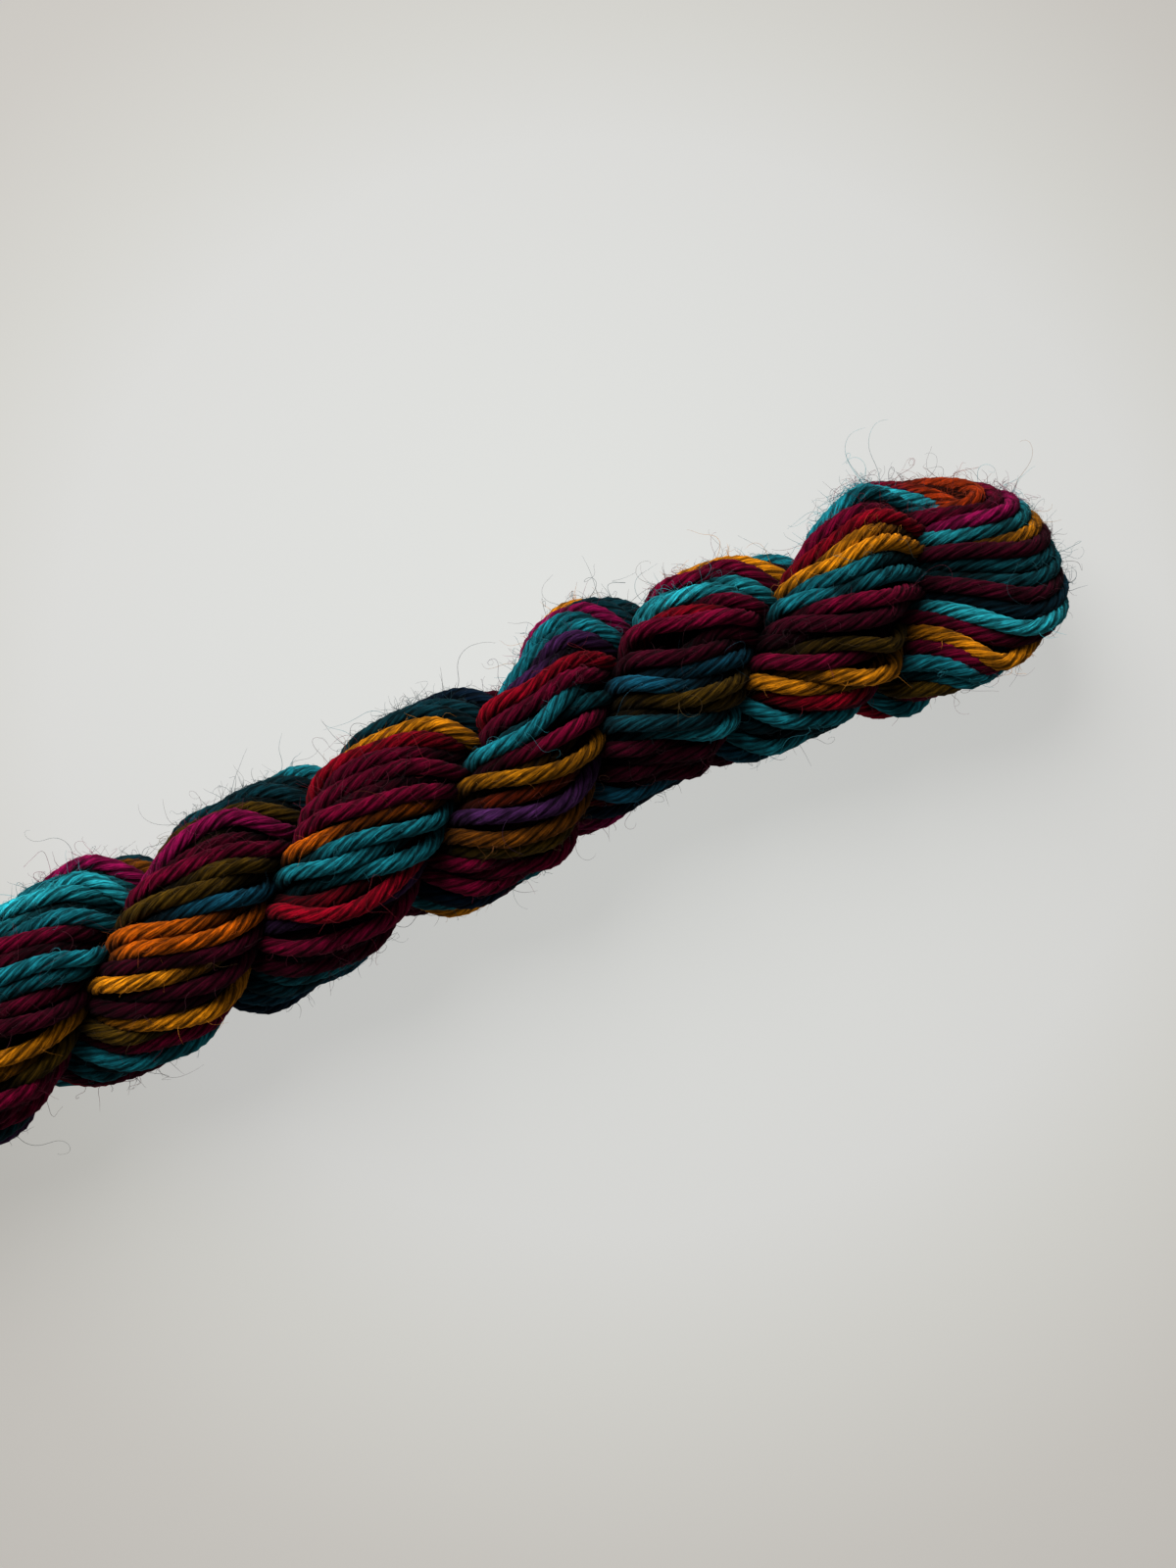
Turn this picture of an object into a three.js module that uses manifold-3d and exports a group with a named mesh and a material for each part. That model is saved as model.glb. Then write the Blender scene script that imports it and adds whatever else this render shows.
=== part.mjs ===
// A small skein of hand-dyed wool thread: one hank, twisted hard and folded, so
// that its two halves lie round each other as a left-handed rope.
// Millimetres. X runs along the rope, +X to the spread fold, Z is up, and the
// origin lies under the middle of the rope on the surface it rests on.

import * as THREE from 'three';
import { mergeVertices } from 'three/addons/utils/BufferGeometryUtils.js';
import Module from 'manifold-3d';

// Driving dimensions

const LENGTH = 160;
const AXIS_HEIGHT = 9.9;
const FLOOR_DEPTH = 20;

// Steps of the solid: rings along each half of the hank, points round a ring
const RING_SPACING = 1.6;
const RING_POINTS = 24;
const NOSE_RINGS = 18;
const NOSE_POINTS = 36;
const SLOPE_STEP = 0.05;

// The rope's course, a row for each half turn and for each place where the rope
// strays. One half of the hank is at one side of the rope, the other is opposite.
//   along      place on the rope
//   halfTurns  half turns made since the left end
//   side       how far the rope strays sideways
//   drop       how far it sinks towards the surface
//   reach      from the rope's centre line to the centre of a half
//   thick      radius of a half, away from the rope's centre line
//   wide       radius of a half, round the rope's centre line
const COURSE = [
  { along: -80.0, halfTurns: -0.50, side: -0.3, drop: 1.2, reach: 3.2, thick: 3.4, wide: 6.0 },
  { along: -73.0, halfTurns: -0.46, side: -0.3, drop: 1.1, reach: 3.4, thick: 3.6, wide: 6.3 },
  { along: -62.3, halfTurns: 0, side: -0.5, drop: 0.2, reach: 4.4, thick: 5.8, wide: 5.9 },
  { along: -44.5, halfTurns: 1, side: 0.0, drop: 0.0, reach: 4.6, thick: 5.9, wide: 5.9 },
  { along: -26.7, halfTurns: 2, side: -0.1, drop: 0.0, reach: 4.6, thick: 6.1, wide: 6.0 },
  { along: -17.3, halfTurns: 2.5, side: -0.9, drop: 0.0, reach: 4.6, thick: 6.0, wide: 5.9 },
  { along: -7.9, halfTurns: 3, side: -0.2, drop: 0.0, reach: 4.6, thick: 6.0, wide: 6.0 },
  { along: 12.3, halfTurns: 4, side: 0.1, drop: 0.0, reach: 4.5, thick: 6.0, wide: 5.8 },
  { along: 21.2, halfTurns: 4.5, side: 0.0, drop: 0.0, reach: 4.5, thick: 6.0, wide: 5.6 },
  { along: 30.1, halfTurns: 5, side: 2.6, drop: 0.0, reach: 4.5, thick: 5.9, wide: 5.5 },
  { along: 37.7, halfTurns: 5.5, side: 0.8, drop: 0.0, reach: 4.4, thick: 5.8, wide: 5.3 },
  { along: 45.3, halfTurns: 6, side: 0.4, drop: 0.0, reach: 4.3, thick: 5.6, wide: 5.3 },
  { along: 53.8, halfTurns: 6.5, side: -1.2, drop: 0.0, reach: 4.4, thick: 5.9, wide: 5.6 },
  { along: 62.3, halfTurns: 7, side: -1.1, drop: 0.2, reach: 5.1, thick: 6.4, wide: 6.2 },
  { along: 73.0, halfTurns: 7.46, side: -2.0, drop: 1.1, reach: 3.4, thick: 3.6, wide: 7.0 },
  { along: 80.0, halfTurns: 7.50, side: -2.0, drop: 1.2, reach: 3.2, thick: 3.4, wide: 6.6 },
];

// The ends of both halves lie inside the folds, at this distance from the tips
const FOLD_COVER = 7;

// The folds, where the threads spread flat, side by side, and turn back
// underneath. Each is egg-shaped in plan and round in its side view.
//   facing      1 for the fold at +X, -1 for the one at -X
//   reach       from the widest place to the tip
//   tail        from the widest place back into the rope
//   turnRadius  how high the fold stands above and below its middle
const FOLDS = [
  { facing: 1, reach: 14, tail: 14, halfWidth: 10.8, turnRadius: 7.5, side: -2.0, drop: 1.2 },
  { facing: -1, reach: 12, tail: 12, halfWidth: 9.2, turnRadius: 7.3, side: -0.3, drop: 1.2 },
];

const WOOL_COLOUR = 0x571a26;

// Smooth run of the course table's columns along the rope

const COLUMNS = ['halfTurns', 'side', 'drop', 'reach', 'thick', 'wide'];

const course = new THREE.CubicInterpolant(
  COURSE.map((row) => row.along),
  COURSE.flatMap((row) => COLUMNS.map((column) => row[column])),
  COLUMNS.length,
);

function courseAt(along) {
  const values = course.evaluate(along);
  return Object.fromEntries(COLUMNS.map((column, i) => [column, values[i]]));
}

// Direction from the rope's centre line to one half; opposite is 0 or 1
function outward(along, opposite) {
  const angle = -Math.PI * (courseAt(along).halfTurns + opposite);
  return new THREE.Vector3(0, Math.cos(angle), Math.sin(angle));
}

function halfCentre(along, opposite) {
  const { side, drop, reach } = courseAt(along);
  return outward(along, opposite)
    .multiplyScalar(reach)
    .add(new THREE.Vector3(along, side, AXIS_HEIGHT - drop));
}

// One ring of a half, square to the half's own course
function halfRing(along, opposite) {
  const { thick, wide } = courseAt(along);
  const centre = halfCentre(along, opposite);
  const out = outward(along, opposite);
  const onward = halfCentre(along + SLOPE_STEP, opposite)
    .sub(halfCentre(along - SLOPE_STEP, opposite))
    .normalize();
  const round = new THREE.Vector3().crossVectors(onward, out).normalize();
  const level = new THREE.Vector3().crossVectors(round, onward);
  return Array.from({ length: RING_POINTS }, (_, i) => {
    const angle = (2 * Math.PI * i) / RING_POINTS;
    return centre.clone()
      .addScaledVector(level, thick * Math.cos(angle))
      .addScaledVector(round, wide * Math.sin(angle));
  });
}

// Closed skin over rings of equal length, with a fan of triangles at each end.
// The rings run towards +X and turn from +Y to +Z.
function skinOverRings(rings) {
  const points = rings.flat();
  const count = rings[0].length;
  const faces = [];
  for (let ring = 0; ring + 1 < rings.length; ring += 1) {
    for (let i = 0; i < count; i += 1) {
      const next = (i + 1) % count;
      const [a, b] = [ring * count + i, ring * count + next];
      faces.push(a, b, b + count, a, b + count, a + count);
    }
  }
  const last = (rings.length - 1) * count;
  const ends = [rings[0], rings[rings.length - 1]].map((ring) => {
    const middle = ring.reduce((sum, point) => sum.add(point), new THREE.Vector3());
    points.push(middle.divideScalar(count));
    return points.length - 1;
  });
  for (let i = 0; i < count; i += 1) {
    const next = (i + 1) % count;
    faces.push(ends[0], next, i, ends[1], last + i, last + next);
  }
  const geometry = new THREE.BufferGeometry().setFromPoints(points);
  geometry.setIndex(faces);
  return geometry;
}

function halfOfHank(opposite) {
  const from = -LENGTH / 2 + FOLD_COVER;
  const steps = Math.round((LENGTH - 2 * FOLD_COVER) / RING_SPACING);
  const rings = Array.from({ length: steps + 1 }, (_, i) => (
    halfRing(from + i * RING_SPACING, opposite)
  ));
  return skinOverRings(rings);
}

// Rings are closer together near the tips, so that both ends come out round
function foldEnd({ facing, reach, tail, halfWidth, turnRadius, side, drop }) {
  const widest = LENGTH / 2 - reach;
  const turnFrom = LENGTH / 2 - turnRadius;
  const rings = Array.from({ length: NOSE_RINGS }, (_, i) => {
    const swing = (Math.PI * (i + 0.5)) / NOSE_RINGS - Math.PI / 2;
    const along = widest + Math.sin(swing) * (swing > 0 ? reach : tail);
    const plan = Math.cos(swing) * halfWidth;
    const past = Math.max(0, along - turnFrom);
    const taper = along < widest ? Math.sqrt(Math.cos(swing)) : 1;
    const rise = Math.sqrt(turnRadius ** 2 - past ** 2) * taper;
    return Array.from({ length: NOSE_POINTS }, (__, j) => {
      const angle = (2 * Math.PI * j) / NOSE_POINTS;
      return new THREE.Vector3(
        facing * along,
        side + facing * plan * Math.cos(angle),
        AXIS_HEIGHT - drop + rise * Math.sin(angle),
      );
    });
  });
  return skinOverRings(rings);
}

// The slab under the surface, which leaves the small flat spots of the threads
// that carry the hank
function underFloor() {
  const slab = new THREE.BoxGeometry(2 * LENGTH, LENGTH, FLOOR_DEPTH);
  return slab.translate(0, 0, -FLOOR_DEPTH / 2);
}

// Joining and cutting

const wasm = await Module();
wasm.setup();

function toSolid(geometry) {
  const bare = geometry.clone();
  bare.deleteAttribute('normal');
  bare.deleteAttribute('uv');
  const merged = mergeVertices(bare);
  return new wasm.Manifold(new wasm.Mesh({
    numProp: 3,
    vertProperties: new Float32Array(merged.attributes.position.array),
    triVerts: new Uint32Array(merged.index.array),
  }));
}

function toGeometry(solid) {
  const { vertProperties, triVerts } = solid.getMesh();
  const geometry = new THREE.BufferGeometry();
  geometry.setAttribute('position', new THREE.BufferAttribute(vertProperties, 3));
  geometry.setIndex(new THREE.BufferAttribute(triVerts, 1));
  geometry.computeVertexNormals();
  return geometry;
}

function hank() {
  const geometry = toGeometry(
    toSolid(halfOfHank(0))
      .add(toSolid(halfOfHank(1)))
      .add(toSolid(foldEnd(FOLDS[0])))
      .add(toSolid(foldEnd(FOLDS[1])))
      .subtract(toSolid(underFloor())),
  );
  const wool = new THREE.MeshStandardMaterial({
    color: WOOL_COLOUR,
    roughness: 0.95,
    metalness: 0,
  });
  const mesh = new THREE.Mesh(geometry, wool);
  mesh.name = 'hank';
  return mesh;
}

const skein = new THREE.Group();
skein.add(hank());

export default skein;
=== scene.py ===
# A small skein of hand-dyed wool thread: one hank, twisted hard and folded, so
# that its two halves lie round each other as a left-handed rope.
# The threads are laid in millimetres along the hank's course, settled against
# each other, and made in metres in the frame of the CAD model.

import math

import bpy
import numpy as np
from mathutils import Matrix, Vector


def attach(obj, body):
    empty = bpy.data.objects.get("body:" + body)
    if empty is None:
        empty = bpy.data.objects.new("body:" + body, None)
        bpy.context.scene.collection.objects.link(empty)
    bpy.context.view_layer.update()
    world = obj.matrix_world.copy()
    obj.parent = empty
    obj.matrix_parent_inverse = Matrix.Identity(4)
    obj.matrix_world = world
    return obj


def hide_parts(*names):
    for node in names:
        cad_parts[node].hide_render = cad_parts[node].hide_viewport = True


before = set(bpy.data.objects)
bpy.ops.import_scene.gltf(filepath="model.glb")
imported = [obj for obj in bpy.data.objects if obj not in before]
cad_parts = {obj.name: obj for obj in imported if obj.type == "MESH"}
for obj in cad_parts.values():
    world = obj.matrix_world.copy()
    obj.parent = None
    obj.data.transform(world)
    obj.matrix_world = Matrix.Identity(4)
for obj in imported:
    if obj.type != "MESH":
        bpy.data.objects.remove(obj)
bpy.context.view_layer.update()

MM = 0.001

# The hank. The course is the one of the solid it replaces, in millimetres.

LENGTH = 160.0
AXIS_HEIGHT = 9.9
COURSE_COLUMNS = ("along", "half_turns", "side", "drop", "reach", "thick", "wide")
COURSE = (
    (-80.0, -0.50, -0.3, 1.2, 3.2, 3.4, 6.0),
    (-73.0, -0.46, -0.3, 1.1, 3.4, 3.6, 6.3),
    (-62.3, 0.0, -0.5, 0.2, 4.4, 5.8, 5.9),
    (-44.5, 1.0, 0.0, 0.0, 4.6, 5.9, 5.9),
    (-26.7, 2.0, -0.1, 0.0, 4.6, 6.1, 6.0),
    (-17.3, 2.5, -0.9, 0.0, 4.6, 6.0, 5.9),
    (-7.9, 3.0, -0.2, 0.0, 4.6, 6.0, 6.0),
    (12.3, 4.0, 0.1, 0.0, 4.5, 6.0, 5.8),
    (21.2, 4.5, 0.0, 0.0, 4.5, 6.0, 5.6),
    (30.1, 5.0, 2.6, 0.0, 4.5, 5.9, 5.5),
    (37.7, 5.5, 0.8, 0.0, 4.4, 5.8, 5.3),
    (45.3, 6.0, 0.4, 0.0, 4.3, 5.6, 5.3),
    (53.8, 6.5, -1.2, 0.0, 4.4, 5.9, 5.6),
    (62.3, 7.0, -1.1, 0.2, 5.1, 6.4, 6.2),
    (73.0, 7.46, -2.0, 1.1, 3.4, 3.6, 7.0),
    (80.0, 7.50, -2.0, 1.2, 3.2, 3.4, 6.6),
)

# The folds at -X and +X: half the width of the spread threads, the distance
# from their widest place to the tip, half the height, and how far the upper
# layer of threads is shifted sideways from the lower one. Then where they
# start, how square and how tapered they are, how near to their middle a thread
# comes, in thread radii, and how often their threads are evened out
FOLD_HALF_WIDTH = {-1: 9.2, 1: 9.8}
FOLD_REACH = {-1: 14.0, 1: 16.0}
FOLD_HALF_HEIGHT = {-1: 7.3, 1: 7.5}
FOLD_SHIFT = {-1: 0.8, 1: -4.6}
FOLD_STARTS_AT = 62.0
FOLD_CORNER = 3.2
FOLD_TAPER = 0.8
FOLD_CORE = 0.9
FOLD_SMOOTHING = 5

# Where the threads start to turn round a fold, how much the turn is bowed, and
# how much of their direction they keep where they arrive below
TURN_AT = 72.4
TURN_DISH = 0.038
TURN_EASE = 0.3

# How far the last bulge strays sideways before the fold: place, length, amount
LAST_BULGE_STRAY = (69.0, 6.0, 3.4)

# How the threads of the upper layer fan out from the last crease to the turn:
# their place round the layer from the middle of its top, as a share, how
# steeply they slope at the turn, how much more towards the crease, and how
# steeply they dive into it
FAN = (
    (-0.25, 0.1, 0.0, 0.11),
    (-0.16, 0.12, 0.0, 0.11),
    (-0.09, 0.38, 0.0, 0.1),
    (-0.02, 0.42, 0.0, 0.08),
    (0.06, 0.62, 0.0, 0.07),
    (0.13, 0.8, 0.0, 0.06),
    (0.2, 0.5, 0.002, 0.04),
    (0.25, 0.15, 0.0045, 0.02),
    (0.38, 0.1, 0.0045, 0.0),
    (0.55, 0.0, 0.0, 0.0),
    (0.68, 0.0, 0.0, 0.0),
    (0.75, 0.1, 0.0, 0.11),
)
FAN_FROM = 56.0
FAN_FORMED = 64.0

# The thread, and the turns of it in each half of the hank: a row for each
# layer, with how many turns lie in it and how far out they lie
THREAD_RADIUS = 0.93
LAYERS = ((26, 1.0), (5, 0.5))
OUTER_TURNS = LAYERS[0][0]
ALL_TURNS = sum(turns for turns, _ in LAYERS)

# The steps of the lay: upright planes along the rope, planes round each fold,
# and points round the outline of a half
STATIONS = 117
TURN_STATIONS = 12
OUTLINE_POINTS = 120

# The outline of a half: how tight its corners are, how soon they tighten, and
# how near to the rope's middle its threads come, in thread radii. Then how
# steeply the threads in front slope on the rope and on the folds
CORNER = 1.4
CORNER_RISE = 2.5
INTERLOCK = 0.5
ROPE_SLOPE = 0.14
FOLD_SLOPE = 0.5

# How unevenly the threads are laid: the sine waves that are summed and the most
# periods of one, and the strays round the half and inwards, as shares
SEED = 11
NOISE_TERMS = 6
NOISE_PERIODS = 9.0
STRAY_ROUND = 0.02
STRAY_INWARD = 0.05

# How the threads settle: rounds, the width of a pressed thread as a share, the
# part of a lack of room that each makes good in a round, and the part of its
# move that it keeps. Then the gap to the floor
SETTLING_ROUNDS = 24
SQUEEZE = 0.86
PUSH = 0.45
MOVE_KEPT = 0.985
FLOOR_GAP = 0.1

# Painted shade in the creases, multiplied into the threads' colour: the directions tried, how far ahead
# a thread has to lie to shut one, the tone deep in a crease, the shares of open directions between
# which a thread comes out of the painted shade, and how often they are evened out
OPEN_DIRECTIONS = 32
SHUT_FROM = 0.2
PAINTED_CREASE_SHADE = 0.08
CREASE_OPEN = (0.12, 0.47)
CREASE_SMOOTHING = 2

# The thread's surface: its plies, the length in which they go round it once,
# the grooves between them and between the strands of each as shares of its
# radius, and how much its thickness varies
PLIES = 4
PLY_LAY = 8.4
PLY_GROOVE = 0.34
PLY_GROOVE_SHARPNESS = 3.0
STRAND_GROOVE = 0.16
STRAND_GROOVE_SHARPNESS = 4.0
PLUMP_CHANGE = 0.09
PLUMP_SMOOTHING = 6

# The thread's mesh: its steps along the thread and in its curve, and a row for
# each piece, with its first turn, the turn after its last, the length of its
# steps as a share, and the points round each ply
THREAD_STEP = 0.92
THREAD_CURVE_STEPS = 5
THREAD_PIECES = {
    "outer_turns_a": (0, 7, 1.0, 6),
    "outer_turns_b": (7, 14, 1.0, 6),
    "outer_turns_c": (14, 20, 1.0, 6),
    "outer_turns_d": (20, OUTER_TURNS, 1.0, 6),
    "inner_turns": (OUTER_TURNS, ALL_TURNS, 1.3, 4),
}

# The loose fibres: number, steps, step length and bend at a step of each kind.
# Then the shape of a fibre, and its tone as a share of its thread's
FIBRES = {"short_fibres": (5400, 6, 0.32, 0.65), "long_fibres": (700, 24, 0.27, 0.42)}
FIBRE_RADIUS = 0.024
FIBRE_SIDES = 3
FIBRE_TAPER = 0.7
FIBRE_CURVE_STEPS = 1
FIBRE_SHADE = 1.1

# Where they start: how deep in the thread, in its radii, how far out and how
# low at most, how they crowd at the far side, and from which height fewer
# stand, and by how much
FIBRE_ROOT = 0.8
FIBRE_SKIN = 6.3
FIBRE_LOWEST = -0.75
FIBRE_FAR_SHARE = 0.75
FIBRE_CROWDING = 0.9
FIBRE_TOP_FROM = 0.6
FIBRE_TOP_LOSS = 0.5

# How they point along the rope at its tips: from how far before the turn, over
# which length, and how much
FIBRE_TIP_BEFORE = 2.0
FIBRE_TIP_LENGTH = 10.0
FIBRE_TIP_LEAN = 1.2

# How they grow: how far their first headings scatter, the ranges of the lean
# outwards, curl, wave and length of each, the middle of its curl, how much its
# plane strays at a step, how hard it is turned away from the threads, and how
# near it comes to the floor
FIBRE_SCATTER = 0.8
FIBRE_LEAN = (0.2, 1.4)
FIBRE_CURL = (0.3, 1.9)
FIBRE_WAVE = (0.0, 9.0)
FIBRE_LENGTH = (0.4, 1.5)
FIBRE_CURL_MIDDLE = 0.55
FIBRE_STRAY = 0.16
FIBRE_RISE = 0.5
FIBRE_CLEARANCE = 0.5

# The wool's look: the scales of its patches and of its hairs, how fine its
# streaks are round the thread and along it and how the patches bend them, the
# part of the noise that is used, and the tones between which patches and
# streaks change
PATCH_SCALE = 380.0
HAIR_SCALE = 7000.0
STREAKS_ROUND = 34.0
STREAKS_ALONG = 900.0
STREAK_BEND = 3.0
NOISE_USED = (0.3, 0.7)
PATCH_TONES = (0.45, 1.55)
STREAK_TONES = (0.35, 1.65)

# How much painted shade darkens its grooves, and how rough streaks and hairs make it
PLY_GROOVE_SHADE = 0.72
PLY_SHADE_SHARPNESS = 2.0
STRAND_GROOVE_SHADE = 0.35
BUMP_STRENGTH = 0.9
BUMP_DEPTH = 0.00022
HAIR_BUMP = 0.3

# The floor: its size, and its tone by the distance from its lightest place, in
# metres, as a share of the span: a painted pool of light, lightest round the skein and darker and
# warmer towards the edges. The glow is the part of the tone that it gives off by itself, painted
# light from a floor that is no lamp, which fills in the shadows on it
FLOOR_SIZE = 3.0
FLOOR_MIDDLE = (0.033, 0.008, 0.0)
FLOOR_SPAN = 0.12
FLOOR_GLOW = 0.88
PAINTED_FLOOR_LIGHT = (
    (0, (0.695, 0.704, 0.687, 1.0)),
    (0.37, (0.660, 0.663, 0.648, 1.0)),
    (0.5, (0.644, 0.643, 0.628, 1.0)),
    (0.62, (0.604, 0.598, 0.570, 1.0)),
    (0.79, (0.548, 0.531, 0.501, 1.0)),
    (1, (0.498, 0.477, 0.447, 1.0)),
)

# The camera: how far the picture is turned against the rope, how steeply it
# looks down, its distance from the picture's middle and that middle in metres,
# its lens and sensor in millimetres, and the gamma of the view
IMAGE_TURN = math.radians(26.07)
CAMERA_HEIGHT_ANGLE = math.radians(80.0)
CAMERA_DISTANCE = 0.222
PICTURE_MIDDLE = (0.0241, -0.0044, 0.0099)
LENS = 50.0
SENSOR = 36.0
VIEW_GAMMA = 0.83

# The window's light: where it comes from, to the picture's right, to its top
# and up, how far away it is, its size and energy, and the light of the room
WINDOW_SIDE = (-0.5, 0.65, 0.8)
WINDOW_DISTANCE = 1.3
WINDOW_SIZE = 1.4
WINDOW_ENERGY = 52.0
ROOM_LIGHT = 0.3
WHITE = (1.0, 1.0, 1.0)

# Dyes, as linear red, green and blue
DYES = {
    "bright teal": (0.022, 0.290, 0.335),
    "teal": (0.010, 0.165, 0.200),
    "dark teal": (0.003, 0.034, 0.044),
    "blue": (0.006, 0.070, 0.110),
    "navy": (0.003, 0.013, 0.028),
    "gold": (0.500, 0.200, 0.006),
    "old gold": (0.240, 0.100, 0.002),
    "orange": (0.420, 0.100, 0.002),
    "olive": (0.075, 0.042, 0.003),
    "brown": (0.160, 0.054, 0.003),
    "rust": (0.250, 0.030, 0.003),
    "wine": (0.130, 0.001, 0.023),
    "dark wine": (0.048, 0.001, 0.010),
    "crimson": (0.210, 0.001, 0.012),
    "magenta": (0.200, 0.004, 0.060),
    "purple": (0.050, 0.014, 0.062),
}

# How a thread's dye changes: the part of a lap that this takes, and the part of
# the way round a fold from which it does
DYE_CHANGE = 0.12
FOLD_DYE_FROM = 0.55

# The dyes that show on each bulge of the rope, from its far side to its near
# side, by the half turns at its left end. The last bulge is the fan, whose
# threads are those that end at least this high above the fold's middle. The
# margin is how far past a bulge's ends a thread still counts as one of its own.
FAN_BULGE = 7
FAN_SIDE = 1.6
CHART_MARGIN = 0.03
BULGES = {
    1: "magenta, teal, bright teal, bright teal, teal, wine, teal, wine, dark wine, gold, olive, wine,"
       " wine, dark teal, wine",
    2: "dark teal, dark teal, wine, olive, magenta, wine, wine, olive, blue, orange, dark wine,"
       " gold, dark wine, gold, olive, wine, teal, dark teal",
    3: "navy, teal, dark teal, gold, crimson, wine, wine, orange, teal, teal, crimson, purple, wine,"
       " dark wine, teal, dark teal",
    4: "dark teal, magenta, orange, teal, purple, crimson, wine, teal, wine, old gold, rust, purple,"
       " brown, olive, wine, wine, teal",
    5: "orange, gold, wine, bright teal, wine, crimson, wine, dark wine, blue, olive, dark teal,"
       " teal, dark wine, dark wine, blue, crimson",
    6: "bright teal, teal, gold, wine, crimson, gold, brown, teal, wine, dark wine, olive, wine,"
       " gold, crimson, wine, teal, dark teal, teal",
    7: "rust, wine, magenta, purple, bright teal, gold, gold, dark wine, teal, navy, teal, teal,"
       " dark wine, blue, bright teal, wine, wine, gold",
}

# How often each dye comes up where the photograph shows no thread
HIDDEN_DYES = (
    "teal, teal, teal, dark teal, blue, navy, gold, orange, olive, brown, wine, wine, wine, dark wine,"
    " dark wine, crimson, magenta, purple, rust"
)


# Laying the threads

def smooth_step(value, start, end):
    share = np.clip((value - start) / (end - start), 0.0, 1.0)
    return share * share * (3.0 - 2.0 * share)


def evened(rows):
    """Values round closed loops, a row for each, evened out with their neighbours."""
    return 0.5 * rows + 0.25 * (np.roll(rows, 1, axis=1) + np.roll(rows, -1, axis=1))


def course_at(along):
    """The course's columns at places along the rope, on curves with an even slope through each row."""
    table = np.array(COURSE)
    places = table[:, 0]
    rise = np.diff(table, axis=0) / np.diff(places)[:, None]
    slopes = np.empty_like(table)
    slopes[1:-1] = (table[2:] - table[:-2]) / (places[2:] - places[:-2])[:, None]
    slopes[0] = (3.0 * rise[0] - slopes[1]) / 2.0
    slopes[-1] = (3.0 * rise[-1] - slopes[-2]) / 2.0
    row = np.clip(np.searchsorted(places, along, side="right") - 1, 0, len(places) - 2)
    span = (places[row + 1] - places[row])[:, None]
    share = ((along - places[row]) / span[:, 0])[:, None]
    back = 1.0 - share
    values = (
        table[row] * back * back * (1.0 + 2.0 * share)
        + table[row + 1] * share * share * (3.0 - 2.0 * share)
        + slopes[row] * span * share * back * back
        - slopes[row + 1] * span * share * share * back
    )
    return dict(zip(COURSE_COLUMNS, values.T))


ALONG = np.linspace(-TURN_AT, TURN_AT, STATIONS)
ALONG_STEP = ALONG[1] - ALONG[0]
FOLD_SHARE = smooth_step(np.abs(ALONG), FOLD_STARTS_AT, TURN_AT)
TURN_ANGLES = np.linspace(math.pi / 2, -math.pi / 2, TURN_STATIONS + 2)[1:-1]


def turn_slots():
    """The place round the section, and the distance from its middle, of every turn in a half."""
    places, depths = [], []
    for layer, (count, depth) in enumerate(LAYERS):
        places.extend((i + 0.5 * layer) / count for i in range(count))
        depths.extend([depth] * count)
    return np.array(places), np.array(depths)


def rope_outlines(course, half):
    """Outlines of one half in the upright planes, where it winds round the other, and their middles.
    Each starts at its outermost point. They are flat, with tight corners, where the halves meet."""
    around = -math.pi * (course["half_turns"] + half)
    out = np.stack((np.cos(around), np.sin(around)), axis=-1)[:, None]
    side = np.stack((-out[..., 1], out[..., 0]), axis=-1)
    slope = course["reach"] * math.pi * np.gradient(course["half_turns"], ALONG_STEP)
    away = (course["thick"] - THREAD_RADIUS)[:, None]
    towards = np.minimum(away, course["reach"][:, None] - THREAD_RADIUS * INTERLOCK)
    across = (course["wide"] * np.sqrt(1.0 + slope**2) - THREAD_RADIUS)[:, None]
    angle = np.linspace(0.0, 2.0 * math.pi, OUTLINE_POINTS + 1)[None, :]
    cosine, sine = np.cos(angle), np.sin(angle)
    deep = np.where(cosine > 0, away, towards)
    power = 2.0 + CORNER * np.clip(-CORNER_RISE * cosine, 0.0, 1.0)
    radius = (np.abs(cosine / deep) ** power + np.abs(sine / across) ** power) ** (-1.0 / power)
    middle = np.stack((course["side"], AXIS_HEIGHT - course["drop"]), axis=-1)[:, None]
    middle = middle + course["reach"][:, None, None] * out
    shape = (radius * cosine)[..., None] * out + (radius * sine)[..., None] * side
    return middle + shape, middle


def fold_outlines(course, half, start):
    """Outlines of one half where it lies flat above or below the other, and their middles. The start
    is the direction of their first point."""
    facing = np.where(ALONG > 0, 1, -1)
    width = np.array([FOLD_HALF_WIDTH[f] for f in facing])
    reach = np.array([FOLD_REACH[f] for f in facing])
    thick = np.array([FOLD_HALF_HEIGHT[f] for f in facing]) / 2.0
    shift = np.array([FOLD_SHIFT[f] for f in facing])
    past_widest = np.clip((np.abs(ALONG) - LENGTH / 2 + reach) / reach, 0.0, 1.0)
    width = width * np.sqrt(1.0 - past_widest**2 * FOLD_TAPER) - THREAD_RADIUS
    up = 1.0 if half == 0 else -1.0
    angle = np.linspace(0.0, 2.0 * math.pi, OUTLINE_POINTS + 1)[None, :] + start[:, None]
    middle = np.stack(
        (course["side"] + shift * up / 2.0, AXIS_HEIGHT - course["drop"] + thick * up), axis=-1
    )[:, None]
    round_off = np.abs(np.cos(angle)) ** FOLD_CORNER + np.abs(np.sin(angle)) ** FOLD_CORNER
    radius = round_off ** (-1.0 / FOLD_CORNER)
    across = width[:, None] * radius * np.cos(angle)
    height = (thick - THREAD_RADIUS * INTERLOCK)[:, None] * radius * np.sin(angle)
    height = np.where(up * height > 0, height * ((thick - THREAD_RADIUS) / thick)[:, None], height)
    return middle + np.stack((across, height), axis=-1), middle


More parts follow.
